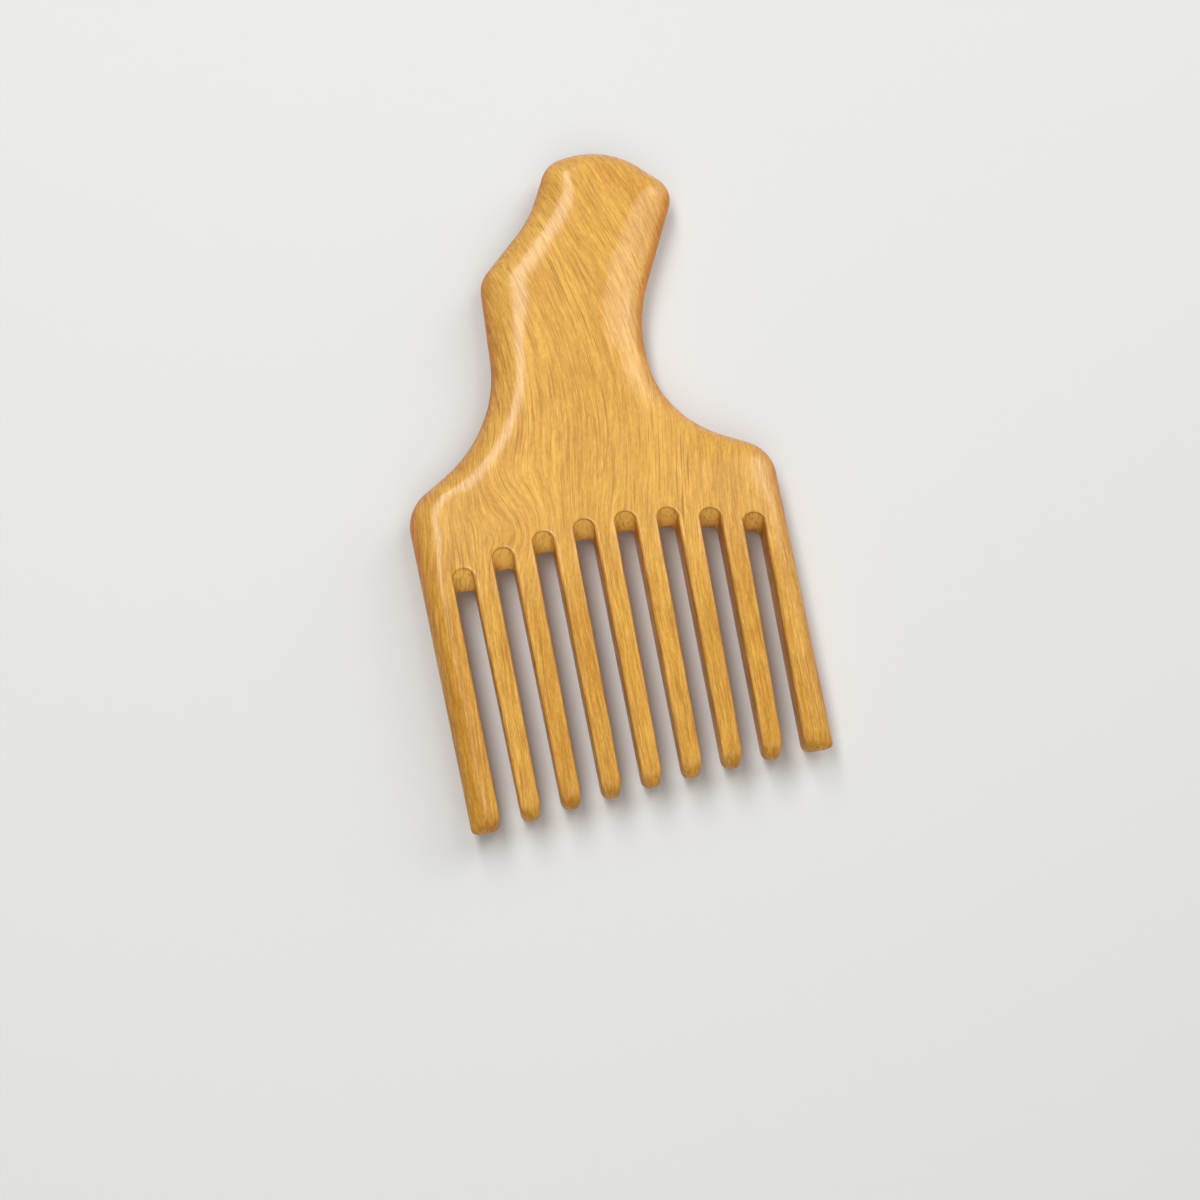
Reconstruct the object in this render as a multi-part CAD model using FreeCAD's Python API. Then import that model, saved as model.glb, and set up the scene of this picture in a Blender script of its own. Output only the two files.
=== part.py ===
import FreeCAD, Part
import math
import os

from FreeCAD import Vector

# A wide-toothed hair pick sawn from one hardwood board, lying on its back face.
# The board is laid out in regions: a handle, a shoulder plate, two guard teeth and a row of
# inner teeth. They meet face to face, and the wood runs on through every meeting face.

# Board
board_thickness = 12.0
edge_round = 5.0

# Handle, with its rise measured from the crown of the slot ends
handle_rise = 98.2
handle_width = 37.6

# Shoulders, measured from the same crown
left_shoulder_rise = 12.8
right_shoulder_rise = 13.9

# Tooth row
inner_teeth = 7
tooth_width = 5.0
tooth_tip_width = 4.4
slot_width = 4.6
slot_tip_width = 4.76
tooth_length = 61.25
tip_slant = 7.0
tip_bow = 1.0
tip_row_shift = 0.45
tooth_edge_round = 0.9
tooth_tip_thickness = 8.0

# Guard teeth
left_guard_width = 8.1
right_guard_width = 5.8
left_guard_tip_width = 6.6
right_guard_tip_width = 6.8

# Slot ends
slot_arch_rise = 6.4
slot_slant = 4.3
scoop_reach = 2.6
scoop_slant = 1.7
scoop_land = 1.0

# One overrun serves all cuts
overrun = 20.0

# Corners of the handle's outline: across from the middle of the tooth row, as a share of half
# the handle's width; up, as a share of its rise; and the share of the shorter run beside the
# corner that its arc takes up. They go clockwise from the top left.
right_handle_shares = [
    (0.118, 0.988, 0.24),
    (0.923, 1.013, 0.65),
    (1.672, 0.866, 0.21),
    (0.905, 0.539, 0.37),
    (0.952, 0.273, 0.57),
]
left_handle_shares = [
    (-1.051, 0.300, 0.60),
    (-0.983, 0.694, 0.15),
    (-0.227, 0.843, 0.34),
]
right_shoulder_share = 0.20
left_shoulder_share = 0.19
neck_line_share = 0.39
taper_start_share = 0.4
taper_bend_share = 0.6
nose_share = 0.42
tip_round_share = 0.48
guard_round_share = 0.15
guard_inner_round_share = 0.40
edge_limit_share = 0.45
bend_limit_share = 0.9
facing_limit_share = 0.9

# Sizes worked out from the ones above
slot_count = inner_teeth + 1
slot_pitch = tooth_width + slot_width
tip_pitch = tooth_tip_width + slot_tip_width
row_half = slot_pitch * (slot_count - 1) / 2
mid_height = board_thickness / 2
left_reach = row_half + slot_width / 2 + left_guard_width
right_reach = row_half + slot_width / 2 + right_guard_width
guard_tip_inner = tip_pitch * (inner_teeth - 1) / 2 + tooth_tip_width / 2 + slot_tip_width
tip_half = guard_tip_inner + (left_guard_tip_width + right_guard_tip_width) / 4


def slot_x(number):
    """Middle of a slot at its closed end, counted from the left."""
    return number * slot_pitch - row_half


def slot_end(x):
    """Height of the slot ends over the crown of their arch, which leans to the right."""
    place = x / row_half
    return place * slot_slant / 2 - place * place * slot_arch_rise


def tip_end(x):
    """Height of the line that the tooth tips end on."""
    place = x / tip_half
    return place * tip_slant / 2 - place * place * tip_bow - tooth_length


def run_length(first, second):
    return first.distanceToPoint(second)


def rounded_wire(corners):
    """Closed wire through corner points, each with an arc that takes a share of its shorter run."""
    edges = []
    ends = []
    for place, (point, reach_share) in enumerate(corners):
        before = corners[place - 1][0]
        after = corners[(place + 1) % len(corners)][0]
        reach = reach_share * min(run_length(before, point), run_length(point, after))
        toward = (before - point).normalize()
        onward = (after - point).normalize()
        start = point + toward * reach
        finish = point + onward * reach
        if reach > 0:
            half_turn = (math.pi - toward.getAngle(onward)) / 2
            radius = reach / math.tan(half_turn)
            middle_way = (toward + onward).normalize()
            middle = point + middle_way * (radius / math.cos(half_turn) - radius)
            edges.append(Part.Arc(start, middle, finish).toShape())
        ends.append((start, finish))
    for place, (start, finish) in enumerate(ends):
        leaving = ends[place - 1][1]
        if leaving.distanceToPoint(start) > 0:
            edges.append(Part.LineSegment(leaving, start).toShape())
    return Part.Wire(Part.sortEdges(edges)[0])


def slab(corners):
    """The board's full thickness over a rounded outline."""
    return Part.Face(rounded_wire(corners)).extrude(Vector(0, 0, board_thickness))


def left_side_point(y):
    """Point on the left outer side, which runs straight from the shoulder corner to the tip."""
    top = Vector(-left_reach, left_shoulder_rise, 0)
    foot_x = tip_row_shift - guard_tip_inner - left_guard_tip_width
    foot = Vector(foot_x, tip_end(foot_x), 0)
    share = (top.y - y) / (top.y - foot.y)
    return top + (foot - top) * share


def right_side_point(y):
    """Point on the right outer side."""
    top = Vector(right_reach, right_shoulder_rise, 0)
    foot_x = tip_row_shift + guard_tip_inner + right_guard_tip_width
    foot = Vector(foot_x, tip_end(foot_x), 0)
    share = (top.y - y) / (top.y - foot.y)
    return top + (foot - top) * share


def handle_corners(shares):
    """Corners of one side of the handle, each with the share that its arc takes up."""
    corners = []
    for across, up, reach_share in shares:
        corners.append((Vector(across * handle_width / 2, up * handle_rise, 0), reach_share))
    return corners


def make_blank():
    """The board sawn to its outline and rounded over, before its slots are cut."""
    foot = -tooth_length - overrun
    corners = handle_corners(right_handle_shares)
    corners.append((right_side_point(right_shoulder_rise), right_shoulder_share))
    corners.append((right_side_point(foot), 0))
    corners.append((left_side_point(foot), 0))
    corners.append((left_side_point(left_shoulder_rise), left_shoulder_share))
    corners += handle_corners(left_handle_shares)
    blank = slab(corners)
    rims = []
    bends = []
    for edge in blank.Edges:
        level = edge.BoundBox.ZLength < mid_height
        if level and edge.BoundBox.YMax > foot + overrun / 2:
            rims.append(edge)
            if edge.Curve.TypeId == "Part::GeomCircle":
                bends.append(edge.Curve.Radius)
    limits = (board_thickness * edge_limit_share, min(bends) * bend_limit_share)
    return blank.makeFillet(min(edge_round, *limits), rims)


def tooth_field():
    """Everything below the slot ends and the tooth roots."""
    points = []
    for number in range(slot_count):
        x = slot_x(number)
        points.append(Vector(x - slot_width / 2, slot_end(x), 0))
        points.append(Vector(x + slot_width / 2, slot_end(x), 0))
    foot = -tooth_length - 2 * overrun
    left = -left_reach - overrun
    right = right_reach + overrun
    points.append(Vector(right, points[-1].y, 0))
    points.append(Vector(right, foot, 0))
    points.append(Vector(left, foot, 0))
    points.append(Vector(left, points[0].y, 0))
    return slab([(point, 0) for point in points])


def closed_edges(points, crown):
    """Wire of four edges round four corner points, the first edge bowed up to its crown."""
    first, second, third, fourth = points
    bowed = crown.y > first.y
    top = Part.Arc(first, crown, second) if bowed else Part.LineSegment(first, second)
    edges = [top.toShape()]
    edges.append(Part.LineSegment(second, third).toShape())
    edges.append(Part.LineSegment(third, fourth).toShape())
    edges.append(Part.LineSegment(fourth, first).toShape())
    return Part.Wire(edges)


def scoop(number, side):
    """Scoop filed from one face into a slot end: straight at the land, an arch at the face."""
    x = slot_x(number)
    radius = slot_width / 2
    low = slot_end(x)
    reach = scoop_reach - x / row_half * scoop_slant / 2
    spring = low + max(0, reach - radius)
    land = mid_height + side * scoop_land / 2
    face = mid_height + side * mid_height
    wires = []
    for level, height, crown in ((land, low, low), (face, spring, low + reach)):
        points = [
            Vector(x - radius, height, level),
            Vector(x + radius, height, level),
            Vector(x + radius, low - slot_width, level),
            Vector(x - radius, low - slot_width, level),
        ]
        wires.append(closed_edges(points, Vector(x, crown, level)))
    return Part.makeLoft(wires, True, True)


def make_body(blank):
    """Handle and shoulder plate in one, cut off at the tooth roots, with scooped slot ends."""
    cuts = [tooth_field()]
    for number in range(slot_count):
        cuts.append(scoop(number, 1))
        cuts.append(scoop(number, -1))
    return blank.cut(cuts)


def split_at_neck(body):
    """The handle above the neck line and the shoulder plate below it."""
    neck = neck_line_share * handle_rise
    width = left_reach + right_reach + 2 * overrun
    height = handle_rise + tooth_length + 2 * overrun
    corner = Vector(-left_reach - overrun, neck, -overrun)
    upper = Part.makeBox(width, height, board_thickness + 2 * overrun, corner)
    return body.common(upper), body.cut(upper)


def side_profile(root, tip):
    """Tooth seen from the side: full thickness at the root, a long taper and a round nose."""
    bend = root - taper_start_share * (root - tip)
    back = root + overrun
    half_tip = tooth_tip_thickness / 2
    corners = [
        (Vector(0, back, board_thickness), 0),
        (Vector(0, bend, board_thickness), taper_bend_share),
        (Vector(0, tip, mid_height + half_tip), nose_share),
        (Vector(0, tip, mid_height - half_tip), nose_share),
        (Vector(0, bend, 0), taper_bend_share),
        (Vector(0, back, 0), 0),
    ]
    return Part.Face(rounded_wire(corners))


def long_bar(corners):
    """Bar of a tooth, squared at its tip, tapered and run on past its root."""
    root_first, root_second, tip_second, tip_first = corners
    first = root_first + (root_first - tip_first).normalize() * overrun
    second = root_second + (root_second - tip_second).normalize() * overrun
    plan = slab([(point, 0) for point in (first, second, tip_second, tip_first)])
    root = min(root_first.y, root_second.y)
    tip = min(tip_first.y, tip_second.y)
    profile = side_profile(root, tip)
    left = -left_reach - 2 * overrun
    profile.translate(Vector(left, 0, 0))
    return plan.common(profile.extrude(Vector(right_reach + 2 * overrun - left, 0, 0)))


def eased(bar, sides):
    """Bar with the edges of its long side faces eased, on the left (-1), on the right (1) or both."""
    top = bar.BoundBox.YMax
    edges = []
    for face in bar.Faces:
        facing = face.normalAt(0, 0).x
        for side in sides:
            if facing * side > facing_limit_share:
                edges += [edge for edge in face.Edges if edge.BoundBox.YMin < top - overrun]
    return bar.makeFillet(tooth_edge_round, edges)


def inner_tooth(number):
    """One inner tooth, between two slots, counted from the left."""
    left_slot = slot_x(number)
    right_slot = slot_x(number + 1)
    tip_x = (number - (inner_teeth - 1) / 2) * tip_pitch + tip_row_shift
    tip_y = tip_end(tip_x)
    corners = [
        Vector(left_slot + slot_width / 2, slot_end(left_slot), 0),
        Vector(right_slot - slot_width / 2, slot_end(right_slot), 0),
        Vector(tip_x + tooth_tip_width / 2, tip_y, 0),
        Vector(tip_x - tooth_tip_width / 2, tip_y, 0),
    ]
    tooth = eased(long_bar(corners), (-1, 1))
    return tooth.common(slab(list(zip(corners, (0, 0, tip_round_share, tip_round_share)))))


def guard_tooth(side, board):
    """Outer tooth of one side, -1 for left and 1 for right."""
    slot = slot_x(0) if side < 0 else slot_x(slot_count - 1)
    tip_width = left_guard_tip_width if side < 0 else right_guard_tip_width
    side_point = left_side_point if side < 0 else right_side_point
    root_y = slot_end(slot)
    inner_tip = tip_row_shift + side * guard_tip_inner
    outer_tip = inner_tip + side * tip_width
    corners = [
        Vector(slot + side * slot_width / 2, root_y, 0),
        side_point(root_y),
        Vector(outer_tip, tip_end(outer_tip), 0),
        Vector(inner_tip, tip_end(inner_tip), 0),
    ]
    past_edge = Vector(side * overrun, 0, 0)
    wide = [corners[0], corners[1] + past_edge, corners[2] + past_edge, corners[3]]
    tooth = eased(long_bar(wide), (-side,))
    plan = slab(list(zip(corners, (0, 0, guard_round_share, guard_inner_round_share))))
    return tooth.common(plan).common(board)


board = make_blank()
parts = {}
parts["handle"], parts["shoulder_plate"] = split_at_neck(make_body(board))
parts["guard_tooth_left"] = guard_tooth(-1, board)
parts["guard_tooth_right"] = guard_tooth(1, board)
for number in range(inner_teeth):
    parts["tooth_%d" % (number + 1)] = inner_tooth(number)

# The origin lies under the middle of the whole pick, on the back face
outer_box = Part.makeCompound(list(parts.values())).optimalBoundingBox(False, False)
to_origin = Vector(-outer_box.Center.x, -outer_box.Center.y, 0)

os.makedirs("parts", exist_ok=True)
for name, shape in parts.items():
    shape.translate(to_origin)
    shape.exportStep("parts/%s.step" % name)
    print(name, shape.isValid(), len(shape.Solids), round(shape.Volume, 2))
print("row middle", to_origin, "box", outer_box)
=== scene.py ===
import math

import bmesh
import bpy
from mathutils import Matrix, Vector


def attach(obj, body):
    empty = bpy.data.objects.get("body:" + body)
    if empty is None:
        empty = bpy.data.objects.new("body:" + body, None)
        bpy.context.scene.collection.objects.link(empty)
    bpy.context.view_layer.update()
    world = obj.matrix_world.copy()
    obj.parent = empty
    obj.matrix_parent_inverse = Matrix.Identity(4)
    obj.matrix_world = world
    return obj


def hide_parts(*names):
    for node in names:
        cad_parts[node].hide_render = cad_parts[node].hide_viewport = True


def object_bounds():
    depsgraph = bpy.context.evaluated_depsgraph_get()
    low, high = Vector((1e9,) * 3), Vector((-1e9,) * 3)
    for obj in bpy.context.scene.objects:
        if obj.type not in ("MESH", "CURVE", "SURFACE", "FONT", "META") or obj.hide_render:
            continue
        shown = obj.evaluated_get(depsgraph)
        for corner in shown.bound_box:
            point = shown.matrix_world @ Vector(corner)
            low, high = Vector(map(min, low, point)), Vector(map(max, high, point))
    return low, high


# A hair pick carved from one hardwood board, lying on its back face.
# Its handle and shoulder plate are meshes rounded over from the board's outline.
# Its teeth are swept by one Geometry Nodes tree from the sections where they leave the plate.

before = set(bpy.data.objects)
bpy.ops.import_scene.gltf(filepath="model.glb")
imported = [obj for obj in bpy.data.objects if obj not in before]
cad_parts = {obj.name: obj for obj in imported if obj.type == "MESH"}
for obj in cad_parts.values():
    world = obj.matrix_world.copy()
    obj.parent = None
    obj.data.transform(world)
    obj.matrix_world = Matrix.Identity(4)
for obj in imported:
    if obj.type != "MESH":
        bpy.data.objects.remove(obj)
cad_low, cad_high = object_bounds()
mm = 0.001

# Board, in millimetres; places in plan count from the middle of the tooth row, at the crown of
# the slot ends' arch
thickness = (cad_high.z - cad_low.z) / mm
mid_height = thickness / 2
row_middle = Vector((1.0345, -16.3423))
handle_rise = 98.2
handle_width = 37.6
left_shoulder_rise = 12.8
right_shoulder_rise = 13.9
neck_line = 38.3

# Tooth row
inner_teeth = 7
tooth_width = 5.0
tooth_tip_width = 4.4
slot_width = 4.6
slot_tip_width = 4.76
tooth_length = 61.25
tip_slant = 7.0
tip_bow = 1.0
tip_row_shift = 0.45
tip_thickness = 8.0
nose_radius = 3.8
tip_corner = 2.1
tip_corner_run = 2.8
guard_nose_radius = 3.3
guard_outer_corner = 1.0
guard_inner_corner = 2.6
guard_corner_stretch = 1.0
guard_tip_run = 20.0
left_guard_width = 8.1
right_guard_width = 5.8
left_guard_tip_width = 6.6
right_guard_tip_width = 6.8

# Slot ends
slot_arch_rise = 6.4
slot_slant = 4.3
scoop_reach = 2.6
scoop_slant = 1.7
scoop_land = 1.0

# Rounding
tooth_ease = 0.9
scoop_ease = 0.45
ease_power = 4
rim_hold = 0.4
left_guard_crown = 4.6
right_guard_crown = 4.0

# Corners of the outline, clockwise from the left shoulder: across as a share of half the handle's
# width, up as a share of its rise, the share of the shorter run that the arc takes, and the width
# of the rounded rim there in millimetres. The shoulders have only the last two.
left_handle_corners = [
    (-1.051, 0.300, 0.60, 9.0),
    (-0.983, 0.694, 0.15, 13.0),
    (-0.227, 0.843, 0.34, 12.0),
]
right_handle_corners = [
    (0.118, 0.988, 0.24, 10.0),
    (0.923, 1.013, 0.65, 9.0),
    (1.672, 0.866, 0.21, 9.0),
    (0.905, 0.539, 0.37, 11.0),
    (0.952, 0.273, 0.57, 9.0),
]
left_shoulder_corner = (0.19, 7.0)
right_shoulder_corner = (0.20, 7.0)
side_run = 30.0

# Mesh
column_step = 1.2
arc_step = math.radians(5)
crown_rows = 14
neck_spacing = 0.25
rim_steadying = 10.0
slot_columns = 14
seam_clearance = math.radians(4)
rule_rows = 3
ease_rows = 4
merge_distance = 0.0005
neck_tolerance = 0.00001
sweep_rows = 56
row_crowding = 1.8
taper_start_share = 0.3
taper_power = 1.5
crisp_angle = math.radians(50)

# Sizes worked out from the ones above
slot_count = inner_teeth + 1
slot_pitch = tooth_width + slot_width
tip_pitch = tooth_tip_width + slot_tip_width
row_half = slot_pitch * (slot_count - 1) / 2
left_reach = row_half + slot_width / 2 + left_guard_width
right_reach = row_half + slot_width / 2 + right_guard_width
guard_tip_inner = tip_pitch * (inner_teeth - 1) / 2 + tooth_tip_width / 2 + slot_tip_width
tip_half = guard_tip_inner + (left_guard_tip_width + right_guard_tip_width) / 4

# Grain, in millimetres in the part's frame; a size is a streak's width and length
plate_lean_from = -22.0
plate_lean_bend = 6.0
handle_lean_from = 30.0
handle_lean_bend = 12.0
wander_size = (24.0, 60.0)
wander_swing = 5.0
flame_middle = (-27.0, -13.0)
flame_reach = (13.0, 15.0)
curl_size = (6.0, 10.0)
curl_swing = 3.0
fan_middle = (-20.0, -7.0)
fan_reach = (9.0, 12.0)
fan_slope = 0.6
band_size = (6.0, 60.0)
band_swing = 0.55
streaks = [((0.9, 10.0), 0.7), ((0.4, 5.0), 0.9), ((0.22, 1.2), 0.7)]
pore_size = (0.36, 13.0)
pore_from = 0.54
pore_to = 0.74
# Colour darker towards the tips, and painted shade round the left guard's shadowed side
tip_darkening_from = -12.0
tip_darkening_to = -50.0
left_painted_shade_middle = (-38.0, -52.0)
left_painted_shade_reach = (9.0, 34.0)
depth_stretch = 4
plain_detail = 1.0
fine_detail = 2.0

# Finishes, by the names of the sockets that they are set on; polish fades in metres
board_wood = {
    "Light Wood": (0.81, 0.457, 0.082, 1), "Dark Wood": (0.47, 0.205, 0.018, 1),
    "Pore Wood": (0.34, 0.14, 0.015, 1), "Streak Depth": 1.3, "Pore Depth": 0.6,
    "Handle Lean": 0.36, "Plate Lean": -0.17, "Tip Darkening And Painted Shade": 0.2, "Smooth": 0.30, "Dull": 0.10,
}
board_polish = {"Full Polish": 0.9, "Thin Polish": 0.2, "Fades From": -0.010, "Fades To": -0.040}
board_gloss = {"Coat Roughness": 0.17, "Coat IOR": 1.42, "Specular IOR Level": 0.15}
board_relief = 0.1
# Slot ends: duller end grain, painted lighter to stand for light that their steep faces barely get
end_grain_painted_light = {
    **board_wood, "Light Wood": (0.98, 0.62, 0.15, 1), "Dark Wood": (0.90, 0.53, 0.11, 1),
    "Streak Depth": 0.8, "Tip Darkening And Painted Shade": 0.0, "Smooth": 0.55, "Dull": 0.15,
}
end_polish = {**board_polish, "Full Polish": 0.08, "Thin Polish": 0.05}
end_gloss = {"Specular IOR Level": 0.25}
end_relief = 0.3
relief_depth = 0.1
# Painted shade on the steep rounded rims, and how much thinner their coat gets
rim_shade_and_coat_values = {"Painted Rim Shade": (0.84, 0.51, 0.05, 1), "Coat Wear": 0.92}
rim_from = 0.97
rim_to = 0.35

# Floor and light, in metres and watts; a softbox has its place, aim, size and power
floor_half = 3.0
floor_colour = (0.66, 0.66, 0.65, 1)
floor_roughness = 0.8
floor_fade_from = 0.25
floor_fade_to = 0.7
backdrop_colour = (0.80, 0.80, 0.79, 1)
studio_glow = 0.05
softboxes = {
    "left_softbox": ((-0.21, 0.6, 0.82), (-0.21, 0.6, 0.0), (0.27, 1.6), 8.2),
    "right_softbox": ((0.55, 0.35, 0.76), (0, 0, 0), (0.5, 0.8), 3.5),
    "side_softbox": ((1.0, 0.42, 0.42), (0, 0, 0), (0.9, 0.7), 3.6),
    "front_softbox": ((-0.1, -0.85, 0.95), (0, 0, 0), (1.2, 0.9), 7.2),
}

# Camera, in millimetres, with the directions to the right and up in its picture
camera_lens = 78.0
camera_sensor = 36.0
camera_place = (-41.10, -235.85, 558.54)
camera_right = (0.9858, -0.1679, 0.0067)
camera_up = (0.1549, 0.9234, 0.3513)


def slot_x(number):
    """Middle of a slot at its closed end, counted from the left."""
    return number * slot_pitch - row_half


def slot_end(number):
    """Height of a slot's closed end over the crown of their arch."""
    place = slot_x(number) / row_half
    return place * slot_slant / 2 - place * place * slot_arch_rise


def tip_end(x):
    """Height of the line that the tooth tips end on."""
    place = x / tip_half
    return place * tip_slant / 2 - place * place * tip_bow - tooth_length


def guard_tip(side):
    """Inner and outer end of a guard tooth's tip, whose line is flatter than the row's."""
    width = left_guard_tip_width if side < 0 else right_guard_tip_width
    inner_x = tip_row_shift + side * guard_tip_inner
    outer_x = inner_x + side * width
    inner = Vector((inner_x, tip_end(inner_x), mid_height))
    fall = (tip_end(outer_x) - inner.y) * width / (width + guard_tip_run)
    return inner, Vector((outer_x, inner.y + fall, mid_height))


def side_point(side, y):
    """Point on the straight outer side of the left (-1) or right (1) guard tooth."""
    reach, rise, width = (left_reach, left_shoulder_rise, left_guard_tip_width)
    if side > 0:
        reach, rise, width = (right_reach, right_shoulder_rise, right_guard_tip_width)
    foot_x = tip_row_shift + side * (guard_tip_inner + width)
    foot_y = tip_end(foot_x)
    share = (rise - y) / (rise - foot_y)
    return Vector((side * reach + (foot_x - side * reach) * share, y))


def arc_points(before, corner, after, arc_share):
    """Points of the arc that rounds one corner of the outline."""
    reach = arc_share * min((before - corner).length, (after - corner).length)
    toward = (before - corner).normalized()
    onward = (after - corner).normalized()
    turn = math.pi - toward.angle(onward)
    radius = reach / math.tan(turn / 2)
    centre = corner + (toward + onward).normalized() * (radius / math.cos(turn / 2))
    start = corner + toward * reach - centre
    bend = math.copysign(turn, -toward.cross(onward))
    count = max(2, math.ceil(turn / arc_step))
    return [centre + Matrix.Rotation(bend * step / count, 2) @ start for step in range(count + 1)]


def blend(share):
    """Smooth step from 0 to 1."""
    return share * share * (3 - 2 * share)


def outline():
    """Columns round the board from the left tooth root to the right one: point and rim width."""
    corners = [(side_point(-1, -side_run), 0, left_guard_crown)]
    corners.append((side_point(-1, left_shoulder_rise), *left_shoulder_corner))
    for across, up, arc_share, crown in left_handle_corners + right_handle_corners:
        corners.append((Vector((across * handle_width / 2, up * handle_rise)), arc_share, crown))
    corners.append((side_point(1, right_shoulder_rise), *right_shoulder_corner))
    corners.append((side_point(1, -side_run), 0, right_guard_crown))
    stretches = [([side_point(-1, slot_end(0))], left_guard_crown)]
    for before, corner, after in zip(corners, corners[1:], corners[2:]):
        stretches.append((arc_points(before[0], corner[0], after[0], corner[1]), corner[2]))
    stretches.append(([side_point(1, slot_end(slot_count - 1))], right_guard_crown))
    columns = []
    for (points, crown), (next_points, next_crown) in zip(stretches, stretches[1:]):
        columns += [(point, crown) for point in points]
        start, finish = points[-1], next_points[0]
        count = max(1, round((finish - start).length / column_step))
        for step in range(1, count):
            share = step / count
            columns.append((start.lerp(finish, share), crown + (next_crown - crown) * blend(share)))
    columns.append((stretches[-1][0][0], right_guard_crown))
    return columns


def with_neck(columns):
    """The columns with three more, close together, on each side where the neck line crosses."""
    levels = (neck_line - neck_spacing, neck_line, neck_line + neck_spacing)
    full = [columns[0]]
    for (start, crown), (finish, next_crown) in zip(columns, columns[1:]):
        climb = finish.y - start.y
        shares = [(level - start.y) / climb for level in levels] if climb else []
        for share in sorted(share for share in shares if 0 < share < 1):
            full.append((start.lerp(finish, share), crown + (next_crown - crown) * share))
        full.append((finish, next_crown))
    return full


def inward_vectors(points):
    """Unit vectors into the board, steadied along the outline so that a wide rim never folds."""
    spans = [0.0]
    for start, finish in zip(points, points[1:]):
        spans.append(spans[-1] + (finish - start).length)
    plain = []
    for place in range(len(points)):
        before, after = max(place - 1, 0), min(place + 1, len(points) - 1)
        along = (points[after] - points[before]).normalized()
        plain.append((Vector((along.y, -along.x)), spans[after] - spans[before]))
    steady = []
    for span in spans:
        total = Vector((0, 0))
        for (vector, spacing), other in zip(plain, spans):
            total += vector * (spacing * math.exp(-((span - other) / rim_steadying) ** 2))
        steady.append(total.normalized())
    steady[0] = Vector((1, 0))
    steady[-1] = Vector((-1, 0))
    return steady


def mirrored(upper):
    """Points of a full column, bottom to top, from those of its upper half, middle to top."""
    lower = [Vector((p.x, p.y, thickness - p.z)) for p in upper[:0:-1]]
    return lower + upper


def rim_column(point, crown, inward):
    """Rounded rim from the bottom face over the outline to the top face."""
    upper = []
    for row in range(crown_rows + 1):
        angle = math.pi / 2 * row / crown_rows
        place = point + inward * crown * (1 - math.cos(angle))
        upper.append(Vector((place.x, place.y, mid_height + mid_height * math.sin(angle))))
    place = point + inward * (crown + rim_hold)
    upper.append(Vector((place.x, place.y, thickness)))
    return mirrored(upper)


def rim_columns():
    """All rim columns, and the numbers of the two at the neck."""
    path = with_neck(outline())
    inwards = inward_vectors([point for point, crown in path])
    columns = [rim_column(*station, inward) for station, inward in zip(path, inwards)]
    necks = []
    for place, (point, crown) in enumerate(path):
        if abs(point.y - neck_line) < neck_tolerance:
            necks.append(place)
    return columns, necks


def scoop_columns(number):
    """Columns across one slot end, from the slot's left wall to its right wall."""
    x = slot_x(number)
    low = slot_end(number)
    radius = slot_width / 2
    reach = scoop_reach - x / row_half * scoop_slant / 2
    spring = max(0, reach - radius)
    rise = reach - spring
    bow_radius = (radius * radius + rise * rise) / (2 * rise)
    half_turn = math.asin(min(1, radius / bow_radius))
    seams = []
    for side in (-1, 1):
        neighbour = number + side
        climb = slot_end(neighbour) - low if 0 <= neighbour < slot_count else 0
        seams.append(Vector((side, climb / tooth_width)))
    stations = [(-1, Vector((x - radius, low)), seams[0])]
    for column in range(slot_columns + 1):
        share = 2 * column / slot_columns - 1
        lean = Vector((math.sin(share * half_turn), math.cos(share * half_turn)))
        face = Vector((x, low + reach - bow_radius)) + lean * bow_radius
        seam_turn = math.atan2(1, seams[share > 0].y)
        out_turn = share * min(half_turn, seam_turn - seam_clearance)
        stations.append((share, face, Vector((math.sin(out_turn), math.cos(out_turn)))))
    stations.append((1, Vector((x + radius, low)), seams[1]))
    columns = []
    for place, (share, face, out) in enumerate(stations):
        at_seam = place in (0, len(stations) - 1)
        ease = scoop_ease + (tooth_ease - scoop_ease) * share ** ease_power
        if at_seam:
            ease = tooth_ease
        land = Vector((x + share * radius, low))
        upper = [Vector((land.x, land.y, mid_height))]
        start_z = mid_height + scoop_land / 2
        for row in range(rule_rows + 1):
            level = start_z + (thickness - ease - start_z) * row / rule_rows
            place_xy = land.lerp(face, (level - start_z) / (thickness - start_z))
            upper.append(Vector((place_xy.x, place_xy.y, level)))
        start = upper[-1]
        corner = Vector((face.x, face.y, thickness))
        finish = corner + Vector((out.x, out.y, 0)) * ease
        for row in range(1, ease_rows + 1):
            share_in = row / ease_rows
            upper.append(start.lerp(corner, share_in).lerp(corner.lerp(finish, share_in), share_in))
        upper.append(finish + Vector((out.x, out.y, 0)) * rim_hold)
        columns.append(mirrored(upper))
    return columns


def to_metres(point):
    """Place in the part's frame of a point that counts from the tooth row."""
    return Vector(((point.x + row_middle.x) * mm, (point.y + row_middle.y) * mm, point.z * mm))


def add_column(mesh, column):
    """Vertices of one column."""
    return [mesh.verts.new(to_metres(point)) for point in column]


def add_strip(mesh, columns):
    """Faces between neighbouring columns of vertices."""
    faces = []
    for left, right in zip(columns, columns[1:]):
        for row in range(len(left) - 1):
            faces.append(mesh.faces.new((left[row], right[row], right[row + 1], left[row + 1])))
    return faces


def close_seam(mesh, first, second):
    """Flat face where the board meets its neighbour, between two columns of vertices."""
    face = mesh.faces.new(first + second[::-1])
    for edge in face.edges:
        edge.smooth = False


def make_piece(name, mesh, materials):
    """Object at the origin from a finished mesh."""
    bmesh.ops.remove_doubles(mesh, verts=mesh.verts, dist=merge_distance * mm)
    bmesh.ops.recalc_face_normals(mesh, faces=mesh.faces)
    data = bpy.data.meshes.new(name)
    for face in mesh.faces:
        face.smooth = True
    mesh.to_mesh(data)
    mesh.free()
    for material in materials:
        data.materials.append(material)
    piece = bpy.data.objects.new(name, data)
    bpy.context.scene.collection.objects.link(piece)
    return piece


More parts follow.
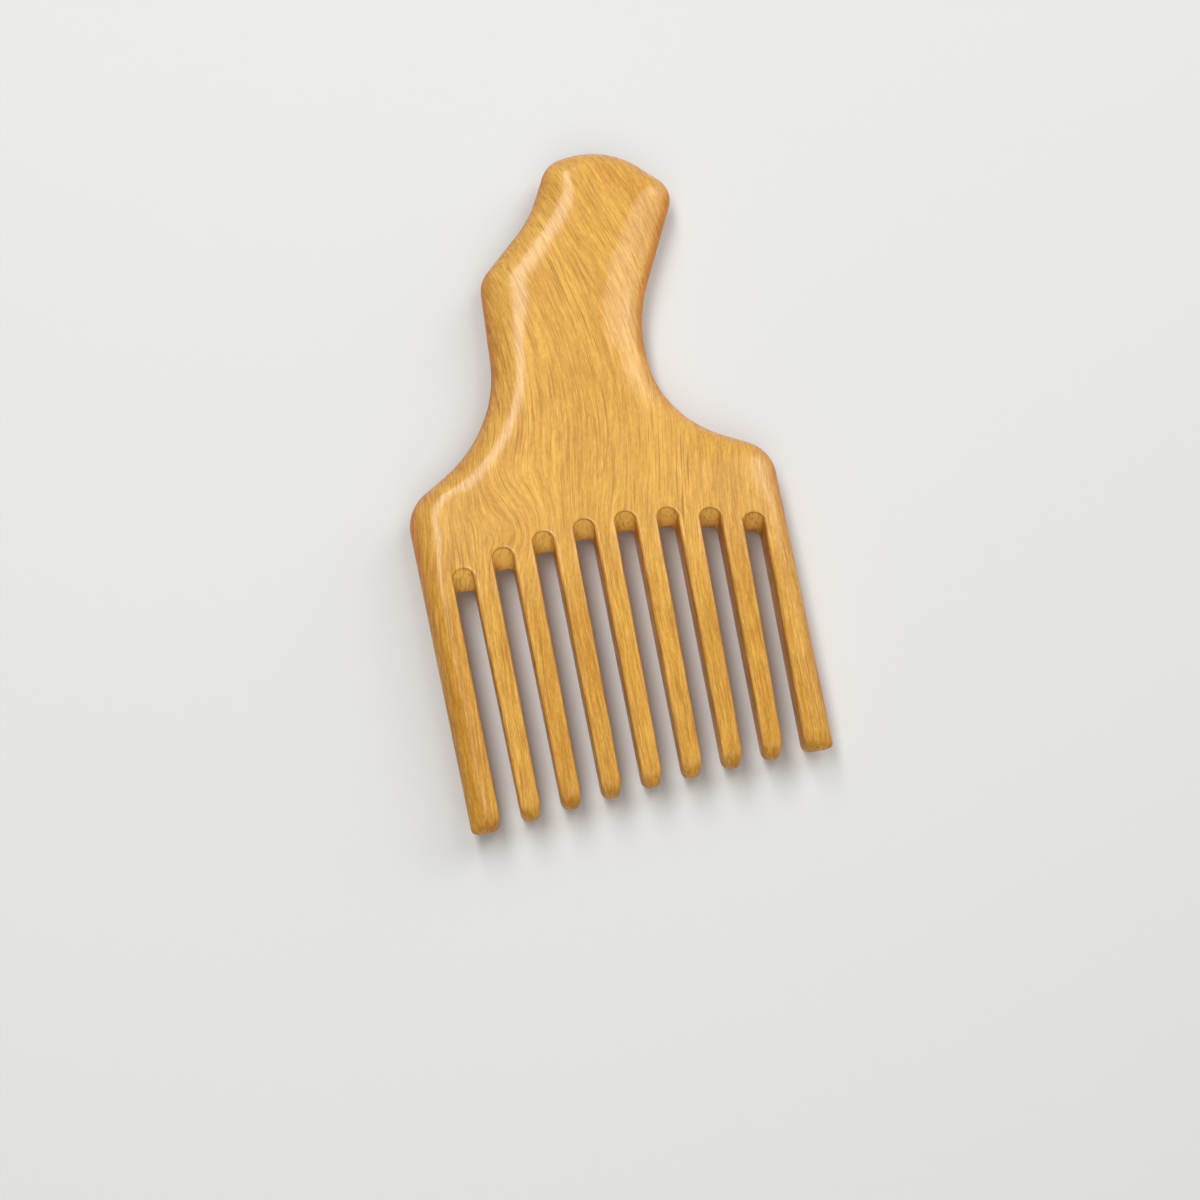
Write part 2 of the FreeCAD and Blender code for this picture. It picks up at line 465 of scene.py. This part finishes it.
def make_handle(columns, materials):
    """Handle above the neck line."""
    mesh = bmesh.new()
    strip = [add_column(mesh, column) for column in columns]
    add_strip(mesh, strip)
    mesh.faces.new([column[-1] for column in strip])
    mesh.faces.new([column[0] for column in strip])
    close_seam(mesh, strip[0], strip[-1])
    return make_piece("carved_handle", mesh, materials)


def make_plate(left, right, scoops, materials):
    """Shoulder plate between the neck line and the tooth roots."""
    mesh = bmesh.new()
    left_strip = [add_column(mesh, column) for column in left]
    right_strip = [add_column(mesh, column) for column in right]
    slot_strips = []
    for scoop in scoops:
        slot_strips.append([add_column(mesh, column) for column in scoop])
    add_strip(mesh, left_strip)
    add_strip(mesh, right_strip)
    filed_from = ease_rows + 1
    filed_to = filed_from + 2 * (rule_rows + 1)
    for strip in slot_strips:
        add_strip(mesh, strip[:2])
        add_strip(mesh, strip[-2:])
        rows = len(strip[0]) - 1
        for place, face in enumerate(add_strip(mesh, strip[1:-1])):
            # The filed slot-end faces take the second finish, whose lighter colour is painted light
            face.material_index = filed_from <= place % rows < filed_to
    rim = left_strip + right_strip
    for strip in slot_strips[::-1]:
        rim += strip[::-1]
    mesh.faces.new([column[-1] for column in rim])
    mesh.faces.new([column[0] for column in rim])
    close_seam(mesh, left_strip[-1], right_strip[0])
    close_seam(mesh, left_strip[0], slot_strips[0][0])
    close_seam(mesh, slot_strips[-1][-1], right_strip[-1])
    for before, after in zip(slot_strips, slot_strips[1:]):
        close_seam(mesh, before[-1], after[0])
    return make_piece("shoulder_board", mesh, materials)


def add_math(tree, operation, *values):
    """Math node in a tree; values are sockets or plain numbers."""
    node = tree.nodes.new("ShaderNodeMath")
    node.operation = operation
    for place, value in enumerate(values):
        if isinstance(value, (int, float)):
            node.inputs[place].default_value = value
        else:
            tree.links.new(value, node.inputs[place])
    return node.outputs[0]


def add_sum(tree, total, *values):
    """Sum of several values."""
    for value in values:
        total = add_math(tree, "ADD", total, value)
    return total


def add_vector_mix(tree, share, first, second):
    """Vector between two vectors."""
    node = tree.nodes.new("ShaderNodeMix")
    node.data_type = "VECTOR"
    tree.links.new(share, node.inputs["Factor"])
    vectors = [socket for socket in node.inputs if socket.type == "VECTOR"]
    tree.links.new(first, [socket for socket in vectors if socket.name == "A"][0])
    tree.links.new(second, [socket for socket in vectors if socket.name == "B"][0])
    return [socket for socket in node.outputs if socket.type == "VECTOR"][0]


def add_color_mix(tree, blend_type, share, first, second):
    """Colour between two colours."""
    node = tree.nodes.new("ShaderNodeMix")
    node.data_type = "RGBA"
    node.blend_type = blend_type
    colours = [socket for socket in node.inputs if socket.type == "RGBA"]
    tree.links.new(share, node.inputs["Factor"])
    tree.links.new(first, colours[0])
    tree.links.new(second, colours[1])
    return [socket for socket in node.outputs if socket.type == "RGBA"][0]


def add_map(tree, value, start, finish, interpolation="SMOOTHSTEP"):
    """Zero up to a start, one from a finish on, and rising between them."""
    node = tree.nodes.new("ShaderNodeMapRange")
    node.interpolation_type = interpolation
    node.inputs["From Min"].default_value = start
    node.inputs["From Max"].default_value = finish
    tree.links.new(value, node.inputs["Value"])
    return node.outputs["Result"]


def add_sockets(group, direction, sockets):
    """Named sockets on a node group."""
    for name, kind in sockets:
        group.interface.new_socket(name, in_out=direction, socket_type=kind)


def rounding_loss(tree, distance, radius):
    """How much an arc takes off at a distance from the tip, as a share of its radius."""
    near = add_math(tree, "DIVIDE", distance, radius)
    near = add_math(tree, "SUBTRACT", 1, add_math(tree, "MINIMUM", near, 1))
    square = add_math(tree, "MULTIPLY", near, near)
    bow = add_math(tree, "SQRT", add_math(tree, "SUBTRACT", 1, square))
    return add_math(tree, "SUBTRACT", 1, bow)


def unit_sweep(tree, sizes):
    """Root section swept up a rail one unit long, with closed ends."""
    section = tree.nodes.new("GeometryNodeMeshToCurve")
    tree.links.new(sizes["Section"], section.inputs["Mesh"])
    rail = tree.nodes.new("GeometryNodeCurvePrimitiveLine")
    rail.inputs["End"].default_value = (0, 0, 1)
    spaced = tree.nodes.new("GeometryNodeResampleCurve")
    tree.links.new(rail.outputs["Curve"], spaced.inputs["Curve"])
    tree.links.new(sizes["Rows"], spaced.inputs["Count"])
    sweep = tree.nodes.new("GeometryNodeCurveToMesh")
    tree.links.new(spaced.outputs["Curve"], sweep.inputs["Curve"])
    tree.links.new(section.outputs["Curve"], sweep.inputs["Profile Curve"])
    sweep.inputs["Fill Caps"].default_value = True
    return sweep.outputs["Mesh"]


def half_height(tree, sizes, along, to_tip):
    """Half of the tooth's thickness: a long taper, then a round nose."""
    past = add_math(tree, "SUBTRACT", along, sizes["Taper Start"])
    past = add_math(tree, "DIVIDE", past, add_math(tree, "SUBTRACT", 1, sizes["Taper Start"]))
    past = add_math(tree, "POWER", add_math(tree, "MAXIMUM", past, 0), taper_power)
    loss = add_math(tree, "MULTIPLY", past, add_math(tree, "SUBTRACT", 1, sizes["Tip Share"]))
    thick = add_math(tree, "SUBTRACT", 1, loss)
    nose = rounding_loss(tree, to_tip, sizes["Nose Radius"])
    nose = add_math(tree, "MULTIPLY", nose, sizes["Nose Share"])
    thick = add_math(tree, "MULTIPLY", thick, add_math(tree, "SUBTRACT", 1, nose))
    return add_math(tree, "MULTIPLY", thick, sizes["Half Thickness"])


def share_across(tree, sizes, unit_x, to_tip):
    """Share of the way from the left to the right side, drawn in by the round tip corners."""
    insets = []
    for corner in ("Left Corner", "Right Corner"):
        run = add_math(tree, "MULTIPLY", sizes[corner], sizes["Corner Stretch"])
        inset = add_math(tree, "MULTIPLY", rounding_loss(tree, to_tip, run), sizes[corner])
        insets.append(add_math(tree, "DIVIDE", inset, sizes["Tip Width"]))
    wide = add_math(tree, "SUBTRACT", 1, add_math(tree, "ADD", *insets))
    across = add_math(tree, "MULTIPLY", add_math(tree, "ADD", unit_x, 0.5), wide)
    return add_math(tree, "ADD", across, insets[0])


def tooth_point(tree, sizes):
    """Place on the tooth of each point of the unit sweep, with rows crowded towards the tip."""
    unit = tree.nodes.new("ShaderNodeSeparateXYZ")
    tree.links.new(tree.nodes.new("GeometryNodeInputPosition").outputs[0], unit.inputs[0])
    left_over = add_math(tree, "SUBTRACT", 1, unit.outputs["Z"])
    left_over = add_math(tree, "POWER", left_over, row_crowding)
    along = add_math(tree, "SUBTRACT", 1, left_over)
    to_tip = add_math(tree, "MULTIPLY", left_over, sizes["Length"])
    left = add_vector_mix(tree, along, sizes["Root Left"], sizes["Tip Left"])
    right = add_vector_mix(tree, along, sizes["Root Right"], sizes["Tip Right"])
    across = share_across(tree, sizes, unit.outputs["X"], to_tip)
    plan = tree.nodes.new("ShaderNodeSeparateXYZ")
    tree.links.new(add_vector_mix(tree, across, left, right), plan.inputs[0])
    height = add_math(tree, "MULTIPLY", unit.outputs["Y"], half_height(tree, sizes, along, to_tip))
    height = add_math(tree, "ADD", height, sizes["Half Thickness"])
    point = tree.nodes.new("ShaderNodeCombineXYZ")
    tree.links.new(plan.outputs["X"], point.inputs["X"])
    tree.links.new(plan.outputs["Y"], point.inputs["Y"])
    tree.links.new(height, point.inputs["Z"])
    return point.outputs[0]


def crisp_shading(tree, geometry):
    """Smooth shading with crisp edges where faces meet at a steep angle."""
    rounded = tree.nodes.new("GeometryNodeSetShadeSmooth")
    tree.links.new(geometry, rounded.inputs["Geometry"])
    corner = tree.nodes.new("GeometryNodeInputMeshEdgeAngle")
    sharp = add_math(tree, "GREATER_THAN", corner.outputs["Unsigned Angle"], crisp_angle)
    crisp = tree.nodes.new("GeometryNodeSetShadeSmooth")
    crisp.domain = "EDGE"
    crisp.inputs["Shade Smooth"].default_value = False
    tree.links.new(rounded.outputs["Geometry"], crisp.inputs["Geometry"])
    tree.links.new(sharp, crisp.inputs["Selection"])
    return crisp.outputs["Geometry"]


def tooth_tree():
    """Sweeps a root section along a tooth: long taper, round nose and round tip corners."""
    tree = bpy.data.node_groups.new("tapered_tooth", "GeometryNodeTree")
    add_sockets(tree, "INPUT", [
        ("Section", "NodeSocketGeometry"), ("Root Left", "NodeSocketVector"),
        ("Root Right", "NodeSocketVector"), ("Tip Left", "NodeSocketVector"),
        ("Tip Right", "NodeSocketVector"), ("Length", "NodeSocketFloat"),
        ("Half Thickness", "NodeSocketFloat"), ("Tip Share", "NodeSocketFloat"),
        ("Taper Start", "NodeSocketFloat"), ("Nose Radius", "NodeSocketFloat"),
        ("Nose Share", "NodeSocketFloat"), ("Left Corner", "NodeSocketFloat"),
        ("Right Corner", "NodeSocketFloat"), ("Corner Stretch", "NodeSocketFloat"),
        ("Tip Width", "NodeSocketFloat"), ("Rows", "NodeSocketInt"),
        ("Finish", "NodeSocketMaterial"),
    ])
    add_sockets(tree, "OUTPUT", [("Tooth", "NodeSocketGeometry")])
    sizes = tree.nodes.new("NodeGroupInput").outputs
    shaped = tree.nodes.new("GeometryNodeSetPosition")
    tree.links.new(unit_sweep(tree, sizes), shaped.inputs["Geometry"])
    tree.links.new(tooth_point(tree, sizes), shaped.inputs["Position"])
    whole = tree.nodes.new("GeometryNodeRealizeInstances")
    tree.links.new(crisp_shading(tree, shaped.outputs["Geometry"]), whole.inputs["Geometry"])
    finished = tree.nodes.new("GeometryNodeSetMaterial")
    tree.links.new(whole.outputs["Geometry"], finished.inputs["Geometry"])
    tree.links.new(sizes["Finish"], finished.inputs["Material"])
    out = tree.nodes.new("NodeGroupOutput")
    tree.links.new(finished.outputs["Geometry"], out.inputs["Tooth"])
    return tree


def section_mesh(name, left_column, right_column):
    """Closed loop of the section where a tooth leaves the plate, one unit wide and two high."""
    loop = right_column + left_column[::-1]
    left = left_column[len(left_column) // 2].x
    right = right_column[len(right_column) // 2].x
    points = [((p.x - left) / (right - left) - 0.5, p.z / mid_height - 1, 0) for p in loop]
    edges = [(place, (place + 1) % len(points)) for place in range(len(points))]
    data = bpy.data.meshes.new(name)
    data.from_pydata(points, edges, [])
    return data


def make_tooth(name, tree, root, tip, corners, stretch, nose, finish):
    """One tooth, swept from the left and right columns at its root to the two ends of its tip."""
    left_column, right_column = root
    tip_left, tip_right = tip
    piece = bpy.data.objects.new(name, section_mesh(name, left_column, right_column))
    bpy.context.scene.collection.objects.link(piece)
    root_left = left_column[len(left_column) // 2]
    root_right = right_column[len(right_column) // 2]
    length = (root_left.y + root_right.y - tip_left.y - tip_right.y) / 2
    values = {
        "Root Left": to_metres(root_left), "Root Right": to_metres(root_right),
        "Tip Left": to_metres(tip_left), "Tip Right": to_metres(tip_right),
        "Length": length * mm, "Half Thickness": mid_height * mm,
        "Tip Share": tip_thickness / thickness, "Taper Start": taper_start_share,
        "Nose Radius": nose * mm, "Nose Share": 2 * nose / tip_thickness,
        "Left Corner": corners[0] * mm, "Right Corner": corners[1] * mm,
        "Corner Stretch": stretch, "Tip Width": (tip_right.x - tip_left.x) * mm,
        "Rows": sweep_rows, "Finish": finish,
    }
    modifier = piece.modifiers.new("tapered_tooth", "NODES")
    modifier.node_group = tree
    for item in tree.interface.items_tree:
        if item.name in values:
            modifier[item.identifier] = values[item.name]
    shaped = piece.evaluated_get(bpy.context.evaluated_depsgraph_get())
    data = bpy.data.meshes.new_from_object(shaped)
    piece.modifiers.clear()
    piece.data = data
    piece.data.name = name
    return piece


def grain_noise(tree, across, along, depth, size, detail):
    """Noise drawn out along the grain, in streaks of a width and length in millimetres."""
    width, length = size
    point = tree.nodes.new("ShaderNodeCombineXYZ")
    spans = (("X", across, width), ("Y", along, length), ("Z", depth, depth_stretch * width))
    for axis, value, span in spans:
        tree.links.new(add_math(tree, "DIVIDE", value, span), point.inputs[axis])
    noise = tree.nodes.new("ShaderNodeTexNoise")
    noise.inputs["Scale"].default_value = 1
    noise.inputs["Detail"].default_value = detail
    tree.links.new(point.outputs[0], noise.inputs["Vector"])
    return noise.outputs[0]


def swing(tree, noise, size):
    """Noise as a shift to either side of zero."""
    return add_math(tree, "MULTIPLY", add_math(tree, "SUBTRACT", noise, 0.5), size)


def soft_ramp(tree, value, start, width):
    """Zero up to a start and then rising in step with the value, round a soft bend."""
    past = add_math(tree, "DIVIDE", add_math(tree, "SUBTRACT", value, start), width)
    bend = add_math(tree, "ADD", add_math(tree, "EXPONENT", past), 1)
    return add_math(tree, "MULTIPLY", add_math(tree, "LOGARITHM", bend, math.e), width)


def soft_spot(tree, x, y, middle, reach):
    """One at a place on the board, fading out round it."""
    squares = []
    for value, centre, size in zip((x, y), middle, reach):
        far = add_math(tree, "DIVIDE", add_math(tree, "SUBTRACT", value, centre), size)
        squares.append(add_math(tree, "MULTIPLY", far, far))
    total = add_math(tree, "ADD", *squares)
    return add_math(tree, "EXPONENT", add_math(tree, "MULTIPLY", total, -1))


def place_across(group, given, x, y, z):
    """Place across the grain: its lines lean, wander, fan out and curl at one shoulder."""
    plate_part = soft_ramp(group, y, plate_lean_from, plate_lean_bend)
    plate_part = add_math(group, "MULTIPLY", plate_part, given["Plate Lean"])
    handle_lean = add_math(group, "SUBTRACT", given["Handle Lean"], given["Plate Lean"])
    handle_part = soft_ramp(group, y, handle_lean_from, handle_lean_bend)
    handle_part = add_math(group, "MULTIPLY", handle_part, handle_lean)
    lean = add_math(group, "ADD", plate_part, handle_part)
    wander = swing(group, grain_noise(group, x, y, z, wander_size, plain_detail), wander_swing)
    curl = swing(group, grain_noise(group, x, y, z, curl_size, plain_detail), curl_swing)
    curl = add_math(group, "MULTIPLY", curl, soft_spot(group, x, y, flame_middle, flame_reach))
    fan = add_math(group, "MULTIPLY", soft_spot(group, x, y, fan_middle, fan_reach), fan_slope)
    fan = add_math(group, "MULTIPLY", fan, add_math(group, "SUBTRACT", y, fan_middle[1]))
    return add_sum(group, x, lean, wander, curl, fan)


def tip_darkening_and_painted_shade(group, given, x, y):
    """How much darker the colour gets towards the tips, plus painted shade along the left guard's
    side.
    """
    ends = add_map(group, y, tip_darkening_from, tip_darkening_to)
    # Painted shade: a darker patch on the left guard, standing for the shadow on that side
    edge = soft_spot(group, x, y, left_painted_shade_middle, left_painted_shade_reach)
    return add_math(group, "MULTIPLY", add_math(group, "ADD", ends, edge), given["Tip Darkening And Painted Shade"])


def wood_figure():
    """Grain of the board: leaning lines on the handle, short streaks and a flame at one shoulder;
    colour darker towards the tips, and painted shade along the left guard.
    """
    group = bpy.data.node_groups.new("wood_figure", "ShaderNodeTree")
    add_sockets(group, "INPUT", [
        ("Position", "NodeSocketVector"), ("Light Wood", "NodeSocketColor"),
        ("Dark Wood", "NodeSocketColor"), ("Pore Wood", "NodeSocketColor"),
        ("Streak Depth", "NodeSocketFloat"), ("Pore Depth", "NodeSocketFloat"),
        ("Handle Lean", "NodeSocketFloat"), ("Plate Lean", "NodeSocketFloat"),
        ("Tip Darkening And Painted Shade", "NodeSocketFloat"), ("Smooth", "NodeSocketFloat"),
        ("Dull", "NodeSocketFloat"),
    ])
    add_sockets(group, "OUTPUT", [
        ("Color", "NodeSocketColor"), ("Roughness", "NodeSocketFloat"),
        ("Relief", "NodeSocketFloat"),
    ])
    given = group.nodes.new("NodeGroupInput").outputs
    scaled = group.nodes.new("ShaderNodeVectorMath")
    scaled.operation = "SCALE"
    scaled.inputs["Scale"].default_value = 1 / mm
    group.links.new(given["Position"], scaled.inputs[0])
    place = group.nodes.new("ShaderNodeSeparateXYZ")
    group.links.new(scaled.outputs[0], place.inputs[0])
    x, y, z = place.outputs
    across = place_across(group, given, x, y, z)

    band = grain_noise(group, across, y, z, band_size, fine_detail)
    tone = swing(group, band, band_swing)
    for size, streak_swing in streaks:
        streak = grain_noise(group, across, y, z, size, fine_detail)
        tone = add_math(group, "ADD", tone, swing(group, streak, streak_swing))
    tone = add_math(group, "MULTIPLY", tone, given["Streak Depth"])
    tone = add_math(group, "ADD", tone, 0.5)
    # Darker towards the tips, with painted shade on the left guard
    tone = add_math(group, "SUBTRACT", tone, tip_darkening_and_painted_shade(group, given, x, y))
    lines = grain_noise(group, across, y, z, pore_size, plain_detail)
    pores = add_map(group, lines, pore_from, pore_to, "LINEAR")
    pores = add_math(group, "MULTIPLY", pores, given["Pore Depth"])
    pores = add_math(group, "MULTIPLY", pores, add_math(group, "MULTIPLY", band, 2))

    wood = add_color_mix(group, "MIX", tone, given["Dark Wood"], given["Light Wood"])
    wood = add_color_mix(group, "MIX", pores, wood, given["Pore Wood"])
    dull = add_math(group, "ADD", add_math(group, "SUBTRACT", 1, tone), pores)
    dull = add_math(group, "MULTIPLY", dull, given["Dull"])
    out = group.nodes.new("NodeGroupOutput").inputs
    group.links.new(wood, out["Color"])
    group.links.new(add_math(group, "ADD", dull, given["Smooth"]), out["Roughness"])
    group.links.new(add_math(group, "SUBTRACT", tone, pores), out["Relief"])
    return group


def painted_rim_shade_and_coat():
    """Painted shade: deeper colour on the steep rounded sides, where they turn away from up; a
    thinner coat there too.
    """
    group = bpy.data.node_groups.new("painted_rim_shade_and_coat", "ShaderNodeTree")
    add_sockets(group, "INPUT", [
        ("Color", "NodeSocketColor"), ("Normal", "NodeSocketVector"),
        ("Painted Rim Shade", "NodeSocketColor"), ("Polish", "NodeSocketFloat"),
        ("Coat Wear", "NodeSocketFloat"),
    ])
    add_sockets(group, "OUTPUT", [("Color", "NodeSocketColor"), ("Coat", "NodeSocketFloat")])
    given = group.nodes.new("NodeGroupInput").outputs
    facing = group.nodes.new("ShaderNodeSeparateXYZ")
    group.links.new(given["Normal"], facing.inputs[0])
    upright = add_math(group, "ABSOLUTE", facing.outputs["Z"])
    share = add_math(group, "MULTIPLY", add_map(group, upright, rim_from, rim_to), given["Polish"])
    # Painted shade: the rim colour multiplied in where the surface turns steep
    deeper = add_color_mix(group, "MULTIPLY", share, given["Color"], given["Painted Rim Shade"])
    worn = add_math(group, "MULTIPLY", share, given["Coat Wear"])
    out = group.nodes.new("NodeGroupOutput").inputs
    group.links.new(deeper, out["Color"])
    group.links.new(add_math(group, "SUBTRACT", given["Polish"], worn), out["Coat"])
    return group


def polish_reach():
    """Amount of polish: full on the handle and plate, and thin down the teeth."""
    group = bpy.data.node_groups.new("polish_reach", "ShaderNodeTree")
    add_sockets(group, "INPUT", [
        ("Position", "NodeSocketVector"), ("Full Polish", "NodeSocketFloat"),
        ("Thin Polish", "NodeSocketFloat"), ("Fades From", "NodeSocketFloat"),
        ("Fades To", "NodeSocketFloat"),
    ])
    add_sockets(group, "OUTPUT", [("Polish", "NodeSocketFloat")])
    given = group.nodes.new("NodeGroupInput").outputs
    place = group.nodes.new("ShaderNodeSeparateXYZ")
    group.links.new(given["Position"], place.inputs[0])
    fade = group.nodes.new("ShaderNodeMapRange")
    fade.interpolation_type = "SMOOTHSTEP"
    group.links.new(place.outputs["Y"], fade.inputs["Value"])
    for socket, size in (("From Min", "Fades From"), ("From Max", "Fades To"),
                         ("To Min", "Full Polish"), ("To Max", "Thin Polish")):
        group.links.new(given[size], fade.inputs[socket])
    out = group.nodes.new("NodeGroupOutput").inputs
    group.links.new(fade.outputs["Result"], out["Polish"])
    return group


def place_group(tree, group, values):
    """Node that places a shader group in a material with its own values."""
    node = tree.nodes.new("ShaderNodeGroup")
    node.node_tree = group
    for socket, value in values.items():
        node.inputs[socket].default_value = value
    return node


def wood_material(name, groups, wood, polish, gloss, relief):
    """Wood finish from the board's grain, painted shade on its steep rims and the reach of its
    polish.
    """
    material = bpy.data.materials.new(name)
    material.use_nodes = True
    tree = material.node_tree
    shader = tree.nodes["Principled BSDF"]
    for socket, value in gloss.items():
        shader.inputs[socket].default_value = value
    figure, rim, reach = groups
    place = tree.nodes.new("ShaderNodeTexCoord")
    grain = place_group(tree, figure, wood)
    # Painted shade and a thinner coat on the steep rims
    edge = place_group(tree, rim, rim_shade_and_coat_values)
    sheen = place_group(tree, reach, polish)
    tree.links.new(place.outputs["Object"], grain.inputs["Position"])
    tree.links.new(place.outputs["Object"], sheen.inputs["Position"])
    tree.links.new(place.outputs["Normal"], edge.inputs["Normal"])
    tree.links.new(grain.outputs["Color"], edge.inputs["Color"])
    tree.links.new(sheen.outputs["Polish"], edge.inputs["Polish"])
    tree.links.new(edge.outputs["Color"], shader.inputs["Base Color"])
    tree.links.new(edge.outputs["Coat"], shader.inputs["Coat Weight"])
    tree.links.new(grain.outputs["Roughness"], shader.inputs["Roughness"])
    bump = tree.nodes.new("ShaderNodeBump")
    bump.inputs["Strength"].default_value = relief
    bump.inputs["Distance"].default_value = relief_depth * mm
    tree.links.new(grain.outputs["Relief"], bump.inputs["Height"])
    tree.links.new(bump.outputs["Normal"], shader.inputs["Normal"])
    return material


def seen_rays(tree):
    """One for the rays that show the backdrop."""
    rays = tree.nodes.new("ShaderNodeLightPath")
    seen = add_math(tree, "MAXIMUM", rays.outputs["Is Camera Ray"], rays.outputs["Is Glossy Ray"])
    return add_math(tree, "MAXIMUM", seen, rays.outputs["Is Transmission Ray"])


def mix_shaders(tree, share, first, second, output):
    """Two shaders mixed by a share, put out as the surface."""
    either = tree.nodes.new("ShaderNodeMixShader")
    tree.links.new(share, either.inputs["Fac"])
    tree.links.new(first, either.inputs[1])
    tree.links.new(second, either.inputs[2])
    tree.links.new(either.outputs[0], tree.nodes[output].inputs["Surface"])


def floor_material():
    """Pale matt floor that fades into the backdrop away from the pick."""
    paper = bpy.data.materials.new("pale_floor")
    paper.use_nodes = True
    tree = paper.node_tree
    shader = tree.nodes["Principled BSDF"]
    shader.inputs["Base Color"].default_value = floor_colour
    shader.inputs["Roughness"].default_value = floor_roughness
    far = tree.nodes.new("ShaderNodeVectorMath")
    far.operation = "LENGTH"
    tree.links.new(tree.nodes.new("ShaderNodeTexCoord").outputs["Object"], far.inputs[0])
    fade = add_map(tree, far.outputs["Value"], floor_fade_from, floor_fade_to)
    sweep = tree.nodes.new("ShaderNodeEmission")
    sweep.inputs["Color"].default_value = backdrop_colour
    share = add_math(tree, "MULTIPLY", fade, seen_rays(tree))
    mix_shaders(tree, share, shader.outputs[0], sweep.outputs[0], "Material Output")
    return paper


def make_floor():
    """Square floor under the pick."""
    signs = ((-1, -1), (1, -1), (1, 1), (-1, 1))
    corners = [(x * floor_half, y * floor_half, 0) for x, y in signs]
    data = bpy.data.meshes.new("floor")
    data.from_pydata(corners, [], [(0, 1, 2, 3)])
    data.materials.append(floor_material())
    plane = bpy.data.objects.new("floor", data)
    bpy.context.scene.collection.objects.link(plane)
    return plane


def add_softbox(name, place, aim, size, power):
    """Rectangular lamp at a place, facing its aim."""
    data = bpy.data.lights.new(name, "AREA")
    data.shape = "RECTANGLE"
    data.size, data.size_y = size
    data.energy = power
    lamp = bpy.data.objects.new(name, data)
    lamp.location = place
    lamp.rotation_euler = (Vector(place) - Vector(aim)).to_track_quat("Z", "Y").to_euler()
    bpy.context.scene.collection.objects.link(lamp)


def make_studio():
    """World that lights the pick faintly and shows as a pale backdrop."""
    studio = bpy.data.worlds.new("studio")
    studio.use_nodes = True
    tree = studio.node_tree
    glow = tree.nodes["Background"]
    glow.inputs["Color"].default_value = (1, 1, 1, 1)
    glow.inputs["Strength"].default_value = studio_glow
    backdrop = tree.nodes.new("ShaderNodeBackground")
    backdrop.inputs["Color"].default_value = backdrop_colour
    mix_shaders(tree, seen_rays(tree), glow.outputs[0], backdrop.outputs[0], "World Output")
    return studio


def make_camera():
    """Camera that sees the pick as the photograph does."""
    data = bpy.data.cameras.new("camera")
    data.lens = camera_lens
    data.sensor_width = camera_sensor
    camera = bpy.data.objects.new("camera", data)
    right = Vector(camera_right).normalized()
    up = Vector(camera_up).normalized()
    turn = Matrix((right, up, right.cross(up))).transposed()
    camera.matrix_world = Matrix.Translation(Vector(camera_place) * mm) @ turn.to_4x4()
    bpy.context.scene.collection.objects.link(camera)
    return camera


# Finishes
groups = (wood_figure(), painted_rim_shade_and_coat(), polish_reach())
polished = wood_material("polished_wood", groups, board_wood, board_polish, board_gloss, board_relief)
# Slot ends: duller end grain whose lighter colour is painted light
filed_painted_light = wood_material("filed_slot_end_painted_light", groups, end_grain_painted_light, end_polish, end_gloss, end_relief)

# Pieces, by the node that each one replaces
columns, (left_neck, right_neck) = rim_columns()
scoops = [scoop_columns(number) for number in range(slot_count)]
pieces = {"handle": make_handle(columns[left_neck:right_neck + 1], [polished])}
pieces["shoulder_plate"] = make_plate(
    columns[:left_neck + 1], columns[right_neck:], scoops, [polished, filed_painted_light])
tapered = tooth_tree()
for number in range(inner_teeth):
    tip_x = (number - (inner_teeth - 1) / 2) * tip_pitch + tip_row_shift
    tip = []
    for side in (-1, 1):
        tip.append(Vector((tip_x + side * tooth_tip_width / 2, tip_end(tip_x), mid_height)))
    pieces["tooth_%d" % (number + 1)] = make_tooth(
        "comb_tooth_%d" % (number + 1), tapered, (scoops[number][-1], scoops[number + 1][0]), tip,
        (tip_corner, tip_corner), tip_corner_run / tip_corner, nose_radius, polished)
inner, outer = guard_tip(-1)
pieces["guard_tooth_left"] = make_tooth(
    "left_guard", tapered, (columns[0], scoops[0][0]), (outer, inner),
    (guard_outer_corner, guard_inner_corner), guard_corner_stretch, guard_nose_radius, polished)
inner, outer = guard_tip(1)
pieces["guard_tooth_right"] = make_tooth(
    "right_guard", tapered, (scoops[-1][-1], columns[-1]), (inner, outer),
    (guard_inner_corner, guard_outer_corner), guard_corner_stretch, guard_nose_radius, polished)
for node, piece in pieces.items():
    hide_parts(node)
    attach(piece, "root")

# Floor, light and camera
floor = make_floor()
for name, values in softboxes.items():
    add_softbox(name, *values)
bpy.context.scene.world = make_studio()
bpy.context.scene.view_settings.view_transform = "Standard"
bpy.context.scene.camera = make_camera()

bpy.context.view_layer.update()
